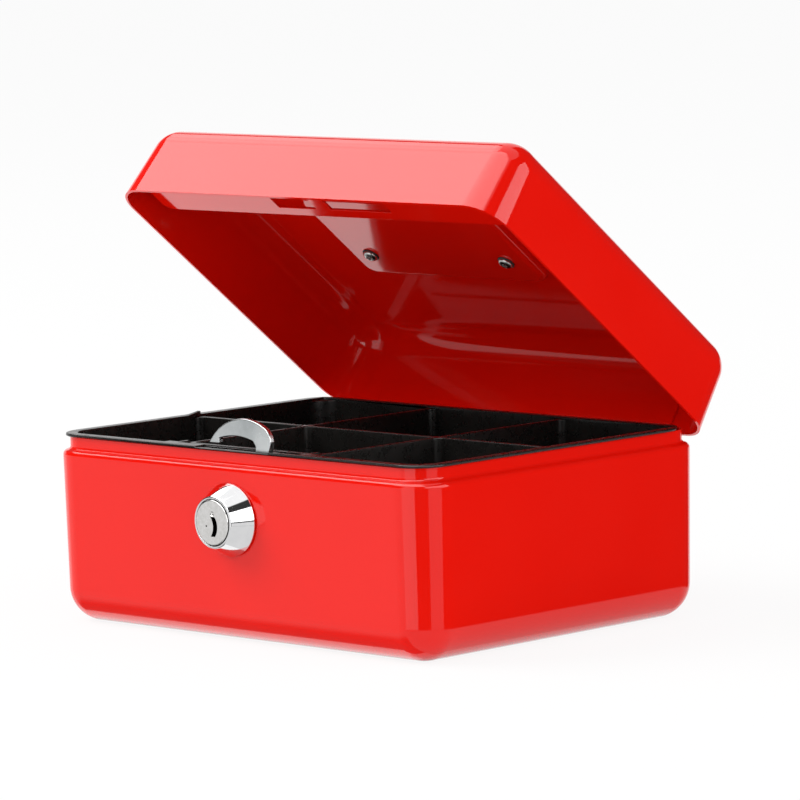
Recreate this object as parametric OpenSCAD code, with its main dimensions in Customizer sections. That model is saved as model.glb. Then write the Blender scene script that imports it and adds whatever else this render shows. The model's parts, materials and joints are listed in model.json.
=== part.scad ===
// Small steel cash box: drawn body and lid, lift-out coin tray, cam lock with a hooked bolt,
// continuous rear hinge and a bail handle that folds into a well in the lid.
// Millimetres. Origin: centre of the underside. +X right, +Y to the hinge, +Z up.
// The lid is drawn shut and then turned about the hinge pin to its rest angle.

/* [Body] */
// Width over the body, left to right
body_w = 152; // [130:1:200]
// Depth over the body, front to back
body_d = 118; // [105:1:160]
// Height of the shoulder, where the side wall turns in
shoulder_z = 49.7; // [44:0.1:70]
// Thickness of the body and lid sheet
sheet_t = 0.8; // [0.6:0.1:1.2]
// Corner radius of the body in plan
body_corner_r = 11.3; // [11.3:0.1:16]
// Radius between the underside and the walls
base_edge_r = 10.4; // [6:0.1:10.4]
// Amount by which each wall leans in at the base
base_draft = 0.7; // [0:0.1:0.8]
// Step in from the side wall to the neck
neck_inset = 2.2; // [2:0.1:2.5]
// Outer radius of the shoulder's upper bend
shoulder_r = 1; // [0.9:0.1:1.2]
// Radius of the bend from the shoulder into the neck
neck_r = 0.8; // [0.3:0.1:0.8]

/* [Tray] */
// Height of the tray rim above the underside
tray_top_z = 55.6; // [53:0.1:80]
// Thickness of the tray rim where it lies on the neck
tray_lip_t = 0.9; // [0.8:0.1:2]
// Overhang of the tray rim past the neck
tray_lip_over = 0.9; // [0.5:0.1:1]
// Depth of the coin compartments
tray_depth = 27; // [15:0.5:40]
// Thickness of the tray walls and dividers
tray_wall = 1.2; // [1:0.1:2]
// Width of each middle compartment between divider centres
tray_middle_w = 52.6; // [50:0.1:60]
// Drop of the divider tops below the rim
divider_drop = 0.7; // [0.3:0.1:2]
// Distance of the long divider in front of the middle of the box
divider_shift = 0.8; // [0:0.1:6]
// Width of the front rim where it passes the lock
front_rim_w = 4.2; // [4.2:0.1:6]
// Drop of the front rim beside the hooked bolt
rim_notch_drop = 0.4; // [0.1:0.1:0.6]
// Distance from the hooked bolt back to the front wall of the middle compartment
lock_bay_d = 5; // [3:0.1:8]
// Height of the catch on the left rim
catch_h = 1; // [0.5:0.1:2]
// Length of the catch along the rim
catch_len = 8; // [5:0.5:12]

/* [Lid] */
// Height of the lid from its lower edge to its top
lid_h = 26.2; // [22:0.1:40]
// Corner radius of the lid in plan
lid_corner_r = 10.5; // [10.5:0.1:16]
// Radius between the lid's walls and its top
lid_edge_r = 9; // [5:0.1:9]
// Amount by which each lid wall leans in at the top
lid_draft = 1.3; // [0:0.1:1.4]
// Height of the closed lid's lower edge above the shoulder edge
lid_gap_z = 1.3; // [1.3:0.1:3]
// Angle at which the lid stands open
open_angle = 38.6; // [0:0.1:95]

/* [Handle well] */
// Width of the well in the lid
well_w = 71.8; // [66:0.1:80]
// Distance of the well's rear wall behind the handle pivots
well_back = 10.4; // [6:0.1:12]
// Distance of the well's front wall in front of the handle pivots
well_front = 28.7; // [28:0.1:36]
// Depth of the well
well_depth = 6; // [5.6:0.1:9]
// Corner radius of the well in plan
well_corner_r = 4; // [3:0.1:8]
// Radius between the well's floor and walls
well_edge_r = 1.3; // [1:0.1:2.5]

/* [Handle] */
// Distance between the handle's two screws
handle_pitch = 54.8; // [52:0.1:60]
// Distance of the handle pivots behind the middle of the lid
handle_y = 0.5; // [-4:0.1:4]
// Diameter of the bail's rod
bail_d = 4; // [3:0.1:4.4]
// Diameter of the bail's pivot ends
bail_pin_d = 3; // [2:0.1:3]
// Distance from the pivots to the middle of the grip
bail_reach = 23.5; // [20:0.1:25]
// Radius of the bail's bends at their middle line
bail_bend_r = 6; // [4:0.1:9]
// Height of the pivots above the well's floor
pivot_h = 2.7; // [2.5:0.1:2.8]
// Width of each post along the pivot
post_w = 6; // [5:0.1:7]
// Diameter of the handle screws' shanks
handle_screw_d = 3; // [2:0.1:3]
// Diameter of the handle screws' heads
handle_head_d = 5.2; // [5:0.1:6.5]

/* [Strike] */
// Depth of the strike flange behind the lid's front wall
strike_d = 16.2; // [14:0.1:20]
// Height of the strike above the lid's lower edge
strike_rise = 4.9; // [4.9:0.1:8]
// Space between each end of the strike and the lid's side wall
strike_end_gap = 5.2; // [4:0.1:12]
// Corner radius of the strike flange
strike_corner_r = 3; // [1:0.1:6]
// Length of the strike slot on the side that the bolt turns to
slot_right_len = 24.2; // [23:0.1:27]
// Length of the strike slot on the other side
slot_left_len = 15.2; // [11:0.1:20]
// Width of the bar between the two slots
bar_w = 5.8; // [4:0.1:6]
// Distance of the bar's middle to the left of the lock
bar_shift = 1.6; // [1:0.1:2]
// Width of the flange behind the slots
strike_rear_w = 3.6; // [2:0.1:5]

/* [Lock] */
// Height of the lock's centre above the underside
lock_z = 35.6; // [33:0.1:40]
// Diameter of the lock's collar where it lies on the body
collar_base_d = 21; // [19:0.1:26]
// Diameter of the collar at its face
collar_face_d = 15.2; // [14.4:0.1:18]
// Distance by which the collar stands out from the body
collar_h = 7; // [5:0.1:12]
// Diameter of the plug that the key turns
plug_d = 13.2; // [12:0.1:13.6]
// Outer diameter of the threaded barrel behind the collar
barrel_d = 16.8; // [16:0.1:18]
// Thickness of the hooked bolt
hook_t = 1.8; // [1.4:0.1:2]
// Radius of the top of the bolt's window about the lock's centre
hook_inner_r = 23.5; // [23.3:0.1:24]
// Radius of the path that the bolt's tip takes over the strike's bar
hook_tip_r = 22.3; // [22.2:0.1:22.6]
// Radius of the bolt's outer edge
hook_outer_r = 17; // [16.8:0.1:17.2]
// Distance of the bolt's right edge from the lock's centre
hook_leg_x = 14.1; // [13:0.1:14.5]
// Distance of the window's right edge from the lock's centre
hook_window_x = 7.9; // [7:0.1:8.5]
// Distance of the window's left edge from the lock's centre
hook_horn_x = 6.7; // [6.5:0.1:7.5]
// Distance of the bolt's tip from the lock's centre
hook_tip_x = 11.9; // [11.5:0.1:12.2]
// Diameter of the bolt's boss on the plug
hook_boss_d = 14; // [12:0.1:15]

/* [Hinge] */
// Length of the hinge
hinge_len = 119; // [90:1:124]
// Diameter of the hinge pin
pin_d = 2.2; // [1.6:0.1:2.4]
// Thickness of the hinge leaves
leaf_t = 0.8; // [0.6:0.1:0.8]
// Number of knuckles
knuckle_n = 9; // [5:2:15]
// Height of the part of each leaf that is welded to its wall
leaf_h = 9; // [6:0.1:11]
// Drop of the pin below the shoulder
pin_drop = 3.2; // [3:0.1:4]

/* [Hidden] */
$fn = 64;
eps = 0.01;
seam = 0.1;
run_fit = 0.05;      // radial clearance of a pin or plug in its bore
move_gap = 0.3;      // clearance between pieces that pass each other
seat_gap = 0.02;     // space left where one piece is welded or clamped to another
arc_steps = 8;       // straight steps in each drawn bend

// Body levels
front_y = -body_d / 2;
rear_y = body_d / 2;
neck_base_z = shoulder_z + shoulder_r + neck_r;
neck_top_z = tray_top_z - tray_lip_t;

// Lock levels along its axis. The washer seats on the leaning wall by its lower edge, and the bolt
// turns just behind the neck.
collar_base_h = 0.6;
lock_washer_r = barrel_d / 2 + 2.4;
lock_washer_t = 0.3;
lock_nut_t = 1;
lock_nut_w = 1.8;          // how far the nut reaches past the barrel
neck_in = neck_inset + sheet_t;
bolt_play = 0.15;
wall_in_y = front_y + sheet_t + body_lean(lock_z - lock_washer_r) + seat_gap;
face_y = front_y - collar_h;
plug_face_y = face_y + 0.2;
nut_rear_y = wall_in_y + lock_washer_t + lock_nut_t;
bolt_y = max(front_y + neck_in + move_gap, nut_rear_y + 2 * bolt_play);
barrel_rear_y = bolt_y - bolt_play;
bolt_rear_y = bolt_y + hook_t;
tang_w = 6;
bolt_washer_t = 0.5;
bolt_washer_d = 9.6;
bolt_screw_d = 3;
bolt_screw_len = 4;
bolt_head_d = 6;
bolt_head_h = 1.7;
keyway_depth = 8;
wafer_n = 4;
wafer_t = 0.6;
wafer_pitch = 1.5;
wafer_w = 4;
wafer_h = 11;
wafer_first = 2.2;         // depth of the first wafer behind the plug's face
wafer_window_drop = 4.6;   // how far the wafers' window reaches below the lock's centre
wafer_window_h = 6.8;
keyway_r = 4.3;            // outer radius of the crescent keyway
keyway_w = 2;
keyway_rise = 0.75;        // slope of the lines that end the crescent
hook_mid = [3.3, hook_inner_r - 11.9];
hook_sweep_r = norm(hook_mid) + hook_outer_r;

// Tray plan: the tub hangs inside the neck, the rim lies on the neck at the front and sides and stops
// short of the hinge leaf, and the middle of the front is open for the hooked bolt
tray_lid_gap = 0.5;          // space between the tray's rounded corners and the shut lid
tray_half_w = body_w / 2 - neck_inset + tray_lip_over;
tray_front_y = front_y + neck_inset - tray_lip_over;
tray_rear_y = rear_y - 5.2;
tray_corner_r = lid_corner_r - sheet_t - tray_lid_gap;
tray_floor_z = tray_top_z - tray_depth;
tub_half_w = body_w / 2 - neck_in - move_gap;
tub_front_y = front_y + neck_in + move_gap;
tub_rear_y = tray_rear_y - 1.5;
tub_corner_r = body_corner_r - neck_in - move_gap;
pocket_r = 2;
sweep_rear_y = bolt_rear_y + move_gap;
bay_y = bolt_rear_y + lock_bay_d;
bay_half_w = tray_middle_w / 2;
rim_notch_x = hook_leg_x + 0.6;

// Lid levels
lid_wall_h = lid_h - lid_edge_r;
lid_z = shoulder_z + lid_gap_z;
lid_top_z = lid_z + lid_h;
strike_z = lid_z + strike_rise;
weld_h = 6;                // height of the strike's upturned edge
well_floor_z = lid_top_z - well_depth;
well_mid_y = handle_y + (well_back - well_front) / 2;
well_len = well_back + well_front;

// Hinge: the barrel lies against the back of the body, below the shoulder
knuckle_r = pin_d / 2 + run_fit + leaf_t;
leaf_y = rear_y + 0.03;            // front face of both leaves behind the rear wall
hinge_y = leaf_y + knuckle_r;
hinge_z = shoulder_z - pin_drop;
knuckle_gap = 0.2;
knuckle_len = hinge_len / knuckle_n;
leaf_step_z = neck_base_z + 0.4;   // height at which the lid leaf steps in under the lid wall

// Handle
post_x = handle_pitch / 2;
pivot_z = well_floor_z + pivot_h;
bail_leg_x = post_x - post_w / 2 - bail_d / 2 - move_gap;
post_tip = 0.3;            // metal left between a screw's end and the bail's bore
handle_hole_d = handle_screw_d + 0.4;
handle_head_h = 1.5;
handle_washer_t = 0.5;
handle_washer_d = handle_head_d + 1.2;
recess_w = 0.7;            // width of the cross recess in a screw's head

// How far the body wall and the lid wall lean in at height z
function body_lean(z) = base_draft * (shoulder_z - z) / (shoulder_z - base_edge_r);
function lid_lean(z) = lid_draft * (z - lid_z) / lid_wall_h;

// ---------- shared shapes ----------

// Points of an arc about c from angle a0 to a1
function arc(c, r, a0, a1) =
    [for (i = [0:arc_steps]) let (a = a0 + (a1 - a0) * i / arc_steps) c + r * [cos(a), sin(a)]];

function reversed(p) = [for (i = [len(p) - 1:-1:0]) p[i]];

// Sweeps a section round a rounded rectangle. The section's x runs out from the corner's axis.
module sweep(w, d, r, section) {
    for (sx = [-1, 1], sy = [-1, 1]) {
        translate([sx * (w / 2 - r), sy * (d / 2 - r), 0])
            rotate([0, 0, sx > 0 ? (sy > 0 ? 0 : -90) : (sy > 0 ? 90 : 180)])
                rotate_extrude(angle = 90) polygon(section);
    }
    for (s = [-1, 1]) {
        translate([s * (w / 2 - r), s * (d / 2 - r), 0])
            rotate([90, 0, s > 0 ? 0 : 180])
                linear_extrude(d - 2 * r) polygon(section);
        translate([-s * (w / 2 - r), s * (d / 2 - r), 0])
            rotate([90, 0, s > 0 ? 90 : -90])
                linear_extrude(w - 2 * r) polygon(section);
    }
}

// Flat that closes the middle of a swept shape, with a small overlap all round
module middle(w, d, r, z0, z1) {
    slab(-w / 2 + r - seam, w / 2 - r + seam, -d / 2 + r - seam, d / 2 - r + seam, z0, z1);
}

// Flat rectangle with rounded corners, from z0 to z1, given by its sides
module slab(x0, x1, y0, y1, z0, z1, r = 0) {
    translate([0, 0, z0]) linear_extrude(z1 - z0) {
        if (r > 0) {
            for (x = [x0 + r, x1 - r], y = [y0 + r, y1 - r]) translate([x, y]) circle(r);
            translate([x0 + r, y0]) square([x1 - x0 - 2 * r, y1 - y0]);
            translate([x0, y0 + r]) square([x1 - x0, y1 - y0 - 2 * r]);
        } else {
            translate([x0, y0]) square([x1 - x0, y1 - y0]);
        }
    }
}

// Round bar along Y at the lock's axis
module lock_bar(y0, y1, r0, r1) {
    translate([0, y0, lock_z]) rotate([-90, 0, 0]) cylinder(h = y1 - y0, r1 = r0, r2 = r1);
}

// Turns what is drawn for the shut lid to the rest angle
module on_lid() {
    translate([0, hinge_y, hinge_z]) rotate([-open_angle, 0, 0]) translate([0, -hinge_y, -hinge_z])
        children();
}

// ---------- body ----------

// Line of the body's wall, moved inwards by t
function body_line(t) = let (
        r = body_corner_r,
        foot = [r - base_draft - base_edge_r, base_edge_r],
        bend = [r - shoulder_r, shoulder_z],
        neck = [r - neck_inset + neck_r, neck_base_z]
    ) concat(
        [[0, t]],
        arc(foot, base_edge_r - t, -90, 0),
        arc(bend, shoulder_r - t, 0, 90),
        arc(neck, neck_r + t, 270, 180),
        [[r - neck_inset - t, neck_top_z]]
    );

module body_shell() {
    color([0.85, 0.08, 0.05]) difference() {
        union() {
            sweep(body_w, body_d, body_corner_r, concat(body_line(0), reversed(body_line(sheet_t))));
            middle(body_w, body_d, body_corner_r, 0, sheet_t);
        }
        lock_bar(front_y - 1, wall_in_y + 1, barrel_d / 2 + run_fit, barrel_d / 2 + run_fit);
    }
}

// ---------- tray ----------

// One compartment's hollow
module pocket(x0, x1, y0, y1) {
    slab(x0, x1, y0, y1, tray_floor_z + tray_wall, tray_top_z + 1, pocket_r);
}

// All six hollows, inside the tub's rounded walls and clear of the bolt's swing
module pockets() {
    half = tray_wall / 2;
    inner_w = tub_half_w - tray_wall;
    front = tub_front_y + tray_wall;
    rear = tub_rear_y - tray_wall;
    columns = [[-inner_w, -bay_half_w - half], [-bay_half_w + half, bay_half_w - half],
        [bay_half_w + half, inner_w]];
    difference() {
        intersection() {
            for (i = [0:2]) {
                pocket(columns[i][0], columns[i][1], i == 1 ? bay_y + tray_wall : front,
                    -divider_shift - half);
                pocket(columns[i][0], columns[i][1], -divider_shift + half, rear);
            }
            slab(-inner_w, inner_w, front, rear, tray_floor_z, tray_top_z + 2, tub_corner_r - tray_wall);
        }
        bay_w = hook_sweep_r + move_gap + tray_wall;
        slab(-bay_w, bay_w, front - 1, sweep_rear_y + tray_wall, tray_floor_z, tray_top_z + 2);
    }
}

module tray() {
    half = tray_wall / 2;
    lip_z = tray_top_z - tray_lip_t;
    bay_w = bay_half_w - half;
    color([0.07, 0.07, 0.07]) difference() {
        union() {
            slab(-tray_half_w, tray_half_w, tray_front_y, tray_rear_y, lip_z, tray_top_z, tray_corner_r);
            slab(-tub_half_w, tub_half_w, tub_front_y, tub_rear_y, tray_floor_z,
                tray_top_z - eps, tub_corner_r);
            // catch that rises along the left rim to the end of the long divider
            translate([-tub_half_w, -divider_shift, tray_top_z]) rotate([90, 0, 90])
                linear_extrude(tray_wall) polygon([[-catch_len, -half], [0, -half], [0, catch_h]]);
        }
        pockets();
        // dividers stand a little below the rim
        slab(-tub_half_w + tray_wall, tub_half_w - tray_wall, bay_y, tub_rear_y - tray_wall,
            tray_top_z - divider_drop, tray_top_z + 1);
        // bay for the lock behind the front rim, open below, and room for the bolt's swing
        slab(-bay_w, bay_w, tray_front_y + front_rim_w, bay_y, tray_floor_z - 1, tray_top_z + 1);
        slab(-bay_w, bay_w, tub_front_y - 1, bay_y, tray_floor_z - 1, lip_z);
        difference() {
            lock_bar(tub_front_y - 1, sweep_rear_y, hook_sweep_r + move_gap, hook_sweep_r + move_gap);
            slab(-hook_sweep_r, hook_sweep_r, tray_front_y - 1, sweep_rear_y + 1, lip_z,
                lock_z + hook_sweep_r + 1);
        }
        // the front rim is lower beside the hooked bolt and slotted where the bolt passes
        slab(-rim_notch_x, rim_notch_x, tray_front_y - 1, tray_front_y + front_rim_w + 1,
            tray_top_z - rim_notch_drop, tray_top_z + 1);
        slab(-rim_notch_x, bay_w - half, bolt_y - move_gap, sweep_rear_y, lip_z - 1, tray_top_z + 1);
    }
}

// ---------- lock ----------

module lock_barrel() {
    bore_r = plug_d / 2 + run_fit;
    color([0.8, 0.8, 0.82]) difference() {
        union() {
            translate([0, front_y, lock_z]) rotate([90, 0, 0]) rotate_extrude() polygon(concat(
                [[0, 0], [collar_base_d / 2, 0], [collar_base_d / 2, collar_base_h]],
                arc([collar_face_d / 2 - 0.5, collar_h - 0.5], 0.5, 20, 90),
                [[0, collar_h]]
            ));
            lock_bar(front_y - 0.5, barrel_rear_y, barrel_d / 2, barrel_d / 2);
        }
        lock_bar(face_y - 1, barrel_rear_y + 1, bore_r, bore_r);
    }
}

module lock_washer() {
    color([0.7, 0.7, 0.72]) difference() {
        lock_bar(wall_in_y, wall_in_y + lock_washer_t, lock_washer_r, lock_washer_r);
        lock_bar(wall_in_y - 1, wall_in_y + 1, barrel_d / 2 + run_fit, barrel_d / 2 + run_fit);
    }
}

module lock_nut() {
    color([0.75, 0.75, 0.77]) difference() {
        translate([0, wall_in_y + lock_washer_t, lock_z]) rotate([-90, 30, 0])
            cylinder(h = lock_nut_t, r = (barrel_d / 2 + lock_nut_w) / cos(30), $fn = 6);
        lock_bar(wall_in_y, nut_rear_y + 1, barrel_d / 2 + run_fit, barrel_d / 2 + run_fit);
    }
}

// Crescent keyway with the round notch of the key's rib, drawn in the plane of the plug's face
module keyway() {
    translate([-keyway_r + 1.9, -1.2]) {
        intersection() {
            difference() {
                circle(keyway_r);
                circle(keyway_r - keyway_w);
            }
            polygon([[0, 0], [2 * keyway_r, keyway_r * 2 * keyway_rise],
                [2 * keyway_r, -keyway_r * 2 * keyway_rise]]);
        }
        rotate([0, 0, atan(keyway_rise)]) translate([keyway_r - keyway_w / 2, 0]) circle(keyway_w / 2);
    }
}

module wafer_slots(grow) {
    for (i = [0:wafer_n - 1]) {
        translate([-wafer_w / 2 - grow, face_y + wafer_first + i * wafer_pitch - grow,
            lock_z - wafer_h / 2 - grow])
            cube([wafer_w + 2 * grow, wafer_t + 2 * grow, wafer_h + 2 * grow]);
    }
}

module lock_plug() {
    screw_end_y = bolt_rear_y + bolt_washer_t - bolt_screw_len;
    color([0.82, 0.82, 0.84]) difference() {
        union() {
            lock_bar(plug_face_y, bolt_y, plug_d / 2, plug_d / 2);
            translate([-tang_w / 2, bolt_y - eps, lock_z - tang_w / 2])
                cube([tang_w, hook_t + eps - 0.1, tang_w]);
        }
        translate([0, face_y + keyway_depth, lock_z]) rotate([90, 0, 0])
            linear_extrude(keyway_depth + 1) keyway();
        wafer_slots(0.1);
        lock_bar(screw_end_y - move_gap, bolt_rear_y + 1, bolt_screw_d / 2 + run_fit,
            bolt_screw_d / 2 + run_fit);
    }
}

// Wafers with one common window that the key's blade fills
module lock_wafers() {
    window_w = wafer_w - 0.4;
    color([0.78, 0.66, 0.35]) difference() {
        wafer_slots(0);
        translate([-window_w / 2, face_y, lock_z - wafer_window_drop])
            cube([window_w, wafer_first + wafer_n * wafer_pitch + 1, wafer_window_h]);
    }
}

// Outline of the hooked bolt, drawn about the lock's centre as seen from the front
module hook_outline() {
    boss_r = hook_boss_d / 2;
    leg_top = hook_inner_r - 4;
    difference() {
        union() {
            circle(boss_r);
            intersection() {
                translate(hook_mid) circle(hook_outer_r);
                translate([-hook_tip_x, 0]) square([hook_tip_x + hook_leg_x, hook_sweep_r]);
            }
            polygon([[-boss_r, 0], [boss_r, 0], [hook_leg_x, hook_outer_r], [hook_leg_x, leg_top],
                [hook_window_x, leg_top]]);
        }
        difference() {
            union() {
                circle(hook_tip_r);
                intersection() {
                    circle(hook_inner_r);
                    translate([-hook_horn_x, 0]) square([hook_horn_x + hook_window_x, hook_inner_r]);
                }
            }
            // what the window leaves standing: the boss and the arm up to the window's right edge
            circle(boss_r);
            polygon([[-boss_r, 0], [-4, 5], [hook_window_x, leg_top], [hook_window_x, hook_sweep_r],
                [hook_sweep_r, hook_sweep_r], [hook_sweep_r, -boss_r], [-boss_r, -boss_r]]);
        }
    }
}

// Hooked bolt: the arm rises from the lock, turns over the strike's bar and ends in a free tip
module lock_bolt() {
    tang_hole = tang_w + 2 * run_fit;
    color([0.68, 0.7, 0.71]) translate([0, bolt_rear_y, lock_z]) rotate([90, 0, 0]) difference() {
        linear_extrude(hook_t) hook_outline();
        translate([-tang_hole / 2, -tang_hole / 2, -1]) cube([tang_hole, tang_hole, hook_t + 2]);
    }
}

module bolt_washer() {
    bore_r = bolt_screw_d / 2 + 0.2;
    color([0.7, 0.7, 0.72]) difference() {
        lock_bar(bolt_rear_y, bolt_rear_y + bolt_washer_t, bolt_washer_d / 2, bolt_washer_d / 2);
        lock_bar(bolt_rear_y - 1, bolt_rear_y + bolt_washer_t + 1, bore_r, bore_r);
    }
}

// Pan-head screw drawn head down at z = 0 with its shank going up
module pan_screw(d, head_d, head_h, shank) {
    difference() {
        union() {
            rotate_extrude() polygon(concat([[0, 0]], arc([head_d / 2 - head_h, 0], head_h, 0, -90),
                [[0, -head_h]]));
            cylinder(h = shank, d = d);
        }
        recess_len = head_d - 2 * head_h;
        for (a = [0, 90]) rotate([0, 0, a])
            translate([-recess_len / 2, -recess_w / 2, -head_h - 1])
                cube([recess_len, recess_w, 1 + head_h * 0.6]);
    }
}

module bolt_screw() {
    color([0.75, 0.75, 0.77]) translate([0, bolt_rear_y + bolt_washer_t, lock_z]) rotate([90, 0, 0])
        pan_screw(bolt_screw_d, bolt_head_d, bolt_head_h, bolt_screw_len);
}

// ---------- hinge ----------

// Knuckles of one leaf: those with an even or odd place along the pin
module knuckles(odd) {
    for (i = [odd:2:knuckle_n - 1]) {
        translate([-hinge_len / 2 + i * knuckle_len + knuckle_gap / 2, hinge_y, hinge_z])
            rotate([0, 90, 0]) cylinder(h = knuckle_len - knuckle_gap, r = knuckle_r);
    }
}

module pin_bore() {
    translate([-hinge_len / 2 - 1, hinge_y, hinge_z]) rotate([0, 90, 0])
        cylinder(h = hinge_len + 2, r = pin_d / 2 + run_fit);
}

// Strips that join the knuckles of one leaf to its flat
module leaf_tabs(odd, z0, z1) {
    for (i = [odd:2:knuckle_n - 1]) {
        x = -hinge_len / 2 + i * knuckle_len + knuckle_gap / 2;
        slab(x, x + knuckle_len - knuckle_gap, leaf_y, leaf_y + leaf_t, z0, z1);
    }
}

module hinge_body_leaf() {
    flat_top = hinge_z - knuckle_r - move_gap;
    color([0.85, 0.08, 0.05]) difference() {
        union() {
            knuckles(0);
            leaf_tabs(0, flat_top - 1, hinge_z);
            slab(-hinge_len / 2, hinge_len / 2, leaf_y, leaf_y + leaf_t,
                flat_top - leaf_h, flat_top);
        }
        pin_bore();
    }
}

module hinge_lid_leaf() {
    step_top = leaf_step_z + leaf_t;
    inner_y = rear_y - sheet_t - seat_gap - leaf_t;
    flat_top = lid_z + leaf_h;
    color([0.85, 0.08, 0.05]) on_lid() difference() {
        union() {
            knuckles(1);
            leaf_tabs(1, hinge_z, leaf_step_z + leaf_t);
            slab(-hinge_len / 2, hinge_len / 2, leaf_y, leaf_y + leaf_t,
                hinge_z + knuckle_r + move_gap, step_top);
            slab(-hinge_len / 2, hinge_len / 2, inner_y, leaf_y + leaf_t, leaf_step_z, step_top);
            // flat that follows the leaning rear wall
            translate([-hinge_len / 2, 0, 0]) rotate([90, 0, 90]) linear_extrude(hinge_len) polygon([
                [inner_y, leaf_step_z], [inner_y + leaf_t - lid_lean(leaf_step_z), leaf_step_z],
                [inner_y + leaf_t - lid_lean(flat_top), flat_top], [inner_y - lid_lean(flat_top), flat_top]]);
        }
        pin_bore();
    }
}

module hinge_pin() {
    color([0.75, 0.75, 0.77]) translate([-hinge_len / 2, hinge_y, hinge_z]) rotate([0, 90, 0])
        cylinder(h = hinge_len, d = pin_d);
}

// ---------- lid ----------

// Line of the lid's wall, moved inwards by t, from the lower edge to the top
function lid_line(t) = let (
        r = lid_corner_r,
        bend = [r - lid_draft - lid_edge_r, lid_top_z - lid_edge_r]
    ) concat(
        [[r - t, lid_z]],
        arc(bend, lid_edge_r - t, 0, 90),
        [[0, lid_top_z - t]]
    );

// Tub-shaped solid of the handle well, grown outwards by t
module well_solid(t, top_z) {
    r = well_corner_r + t;
    e = well_edge_r + t;
    z0 = well_floor_z - t;
    section = concat([[0, z0]], arc([r - e, z0 + e], e, -90, 0), [[r, top_z], [0, top_z]]);
    w = well_w + 2 * t;
    d = well_len + 2 * t;
    translate([0, well_mid_y, 0]) {
        sweep(w, d, r, section);
        middle(w, d, r, z0, top_z);
    }
}

module lid_shell() {
    color([0.85, 0.08, 0.05]) on_lid() difference() {
        union() {
            sweep(body_w, body_d, lid_corner_r, concat(lid_line(0), reversed(lid_line(sheet_t))));
            middle(body_w, body_d, lid_corner_r, lid_top_z - sheet_t, lid_top_z);
            well_solid(sheet_t, lid_top_z - sheet_t / 2);
        }
        well_solid(0, lid_top_z + 1);
        // the rear wall is cut away where the hinge leaf steps in
        slab(-hinge_len / 2 - 0.5, hinge_len / 2 + 0.5, rear_y - sheet_t - 2, rear_y + 1,
            lid_z - 1, leaf_step_z + leaf_t);
        for (s = [-1, 1]) translate([s * post_x, handle_y, well_floor_z - sheet_t - 1])
            cylinder(h = sheet_t + 2, d = handle_hole_d);
    }
}

// Flange inside the front of the lid, with the two slots that the hooked bolt turns through
module lid_strike() {
    front = front_y + sheet_t + lid_lean(strike_z + sheet_t) + seat_gap;
    rear = front_y + sheet_t + strike_d;
    half_w = body_w / 2 - sheet_t - strike_end_gap;
    slot_front = front + sheet_t;
    slot_rear = rear - strike_rear_w;
    bar_left = -bar_shift - bar_w / 2;
    bar_right = -bar_shift + bar_w / 2;
    weld_w = half_w - 2 * strike_corner_r;
    top = strike_z + weld_h;
    top_y = front + lid_lean(top) - lid_lean(strike_z + sheet_t);
    color([0.85, 0.08, 0.05]) on_lid() difference() {
        union() {
            slab(-half_w, half_w, front, rear, strike_z, strike_z + sheet_t, strike_corner_r);
            // upturned edge that follows the lid's front wall and is welded to it
            translate([-weld_w, 0, 0]) rotate([90, 0, 90]) linear_extrude(2 * weld_w) polygon([
                [front, strike_z], [top_y, top], [top_y + sheet_t, top], [front + sheet_t, strike_z]]);
        }
        slab(bar_right, bar_right + slot_right_len, slot_front, slot_rear, strike_z - 1, top + 1);
        slab(bar_left - slot_left_len, bar_left, slot_front, slot_rear, strike_z - 1, top + 1);
    }
}

// ---------- handle ----------

module handle_post(side) {
    x = side * post_x;
    screw_bore_h = pivot_h - bail_pin_d / 2 - post_tip;
    color([0.8, 0.8, 0.82]) on_lid() difference() {
        union() {
            slab(x - post_w / 2, x + post_w / 2, handle_y - pivot_h, handle_y + pivot_h,
                well_floor_z, pivot_z, 1);
            translate([x - post_w / 2, handle_y, pivot_z]) rotate([0, 90, 0])
                cylinder(h = post_w, r = pivot_h);
        }
        translate([x - post_w, handle_y, pivot_z]) rotate([0, 90, 0])
            cylinder(h = 2 * post_w, r = bail_pin_d / 2 + run_fit);
        translate([x, handle_y, well_floor_z - 1])
            cylinder(h = 1 + screw_bore_h, r = handle_screw_d / 2 + run_fit);
    }
}

module handle_washer(side) {
    top = well_floor_z - sheet_t;
    color([0.2, 0.2, 0.2]) on_lid() translate([side * post_x, handle_y, top - handle_washer_t])
        difference() {
            cylinder(h = handle_washer_t, d = handle_washer_d);
            translate([0, 0, -1]) cylinder(h = handle_washer_t + 2, d = handle_hole_d);
        }
}

module handle_screw(side) {
    shank = handle_washer_t + sheet_t + pivot_h - bail_pin_d / 2 - 2 * post_tip;
    color([0.75, 0.75, 0.77]) on_lid()
        translate([side * post_x, handle_y, well_floor_z - sheet_t - handle_washer_t])
            pan_screw(handle_screw_d, handle_head_d, handle_head_h, shank);
}

// Round rod bent to a U, with its ends turned out into the posts
module handle_bail() {
    grip_y = handle_y - bail_reach;
    r = bail_d / 2;
    color([0.82, 0.82, 0.84]) on_lid() translate([0, 0, pivot_z]) {
        for (s = [-1, 1]) {
            translate([s * bail_leg_x, handle_y, 0]) rotate([90, 0, 0])
                cylinder(h = bail_reach - bail_bend_r, r = r);
            translate([s * bail_leg_x, handle_y, 0]) sphere(r);
            translate([s * bail_leg_x, handle_y, 0]) rotate([0, s * 90, 0])
                cylinder(h = post_x + post_w / 2 - bail_leg_x - 0.2, d = bail_pin_d);
            translate([s * (bail_leg_x - bail_bend_r), grip_y + bail_bend_r, 0])
                rotate([0, 0, s > 0 ? -90 : 180]) rotate_extrude(angle = 90)
                    translate([bail_bend_r, 0]) circle(r);
        }
        translate([-bail_leg_x + bail_bend_r, grip_y, 0]) rotate([0, 90, 0])
            cylinder(h = 2 * (bail_leg_x - bail_bend_r), r = r);
    }
}

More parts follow.
